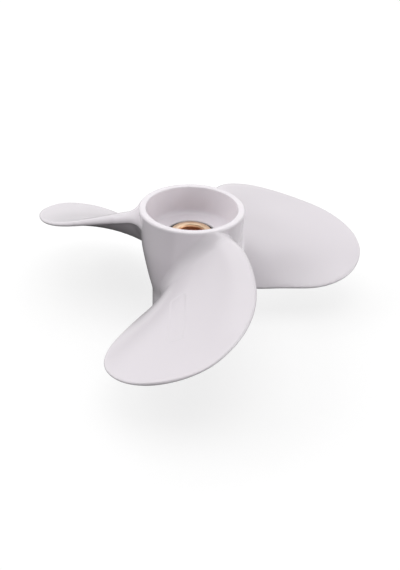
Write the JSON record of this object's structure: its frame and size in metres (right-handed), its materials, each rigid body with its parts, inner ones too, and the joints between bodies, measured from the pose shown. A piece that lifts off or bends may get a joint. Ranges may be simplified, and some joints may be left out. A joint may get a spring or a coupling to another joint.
{
  "type": "outboard boat propeller, three blades",
  "caption": "White-painted outboard boat propeller with broad round blades, a hub that is cupped at the front, a rubber bush and a splined brass sleeve.",
  "frame": {"origin": "on the shaft axis, at the height of the centre of mass of the solids, about half way down the blades", "axes": "+Z along the shaft axis, out of the cupped front end of the hub; one blade's reference line points along -Y, and the others follow at thirds of a turn"},
  "size_m": [0.2133, 0.1976, 0.076],
  "materials": {
    "white_paint": "gloss white paint on a cast aluminium alloy body",
    "black_rubber": "moulded, matte",
    "brass": "turned and broached, satin"
  },
  "bodies": {
    "root": {"propeller_casting": "white_paint", "rubber_bush": "black_rubber", "brass_sleeve": "brass"}
  },
  "joints": []
}
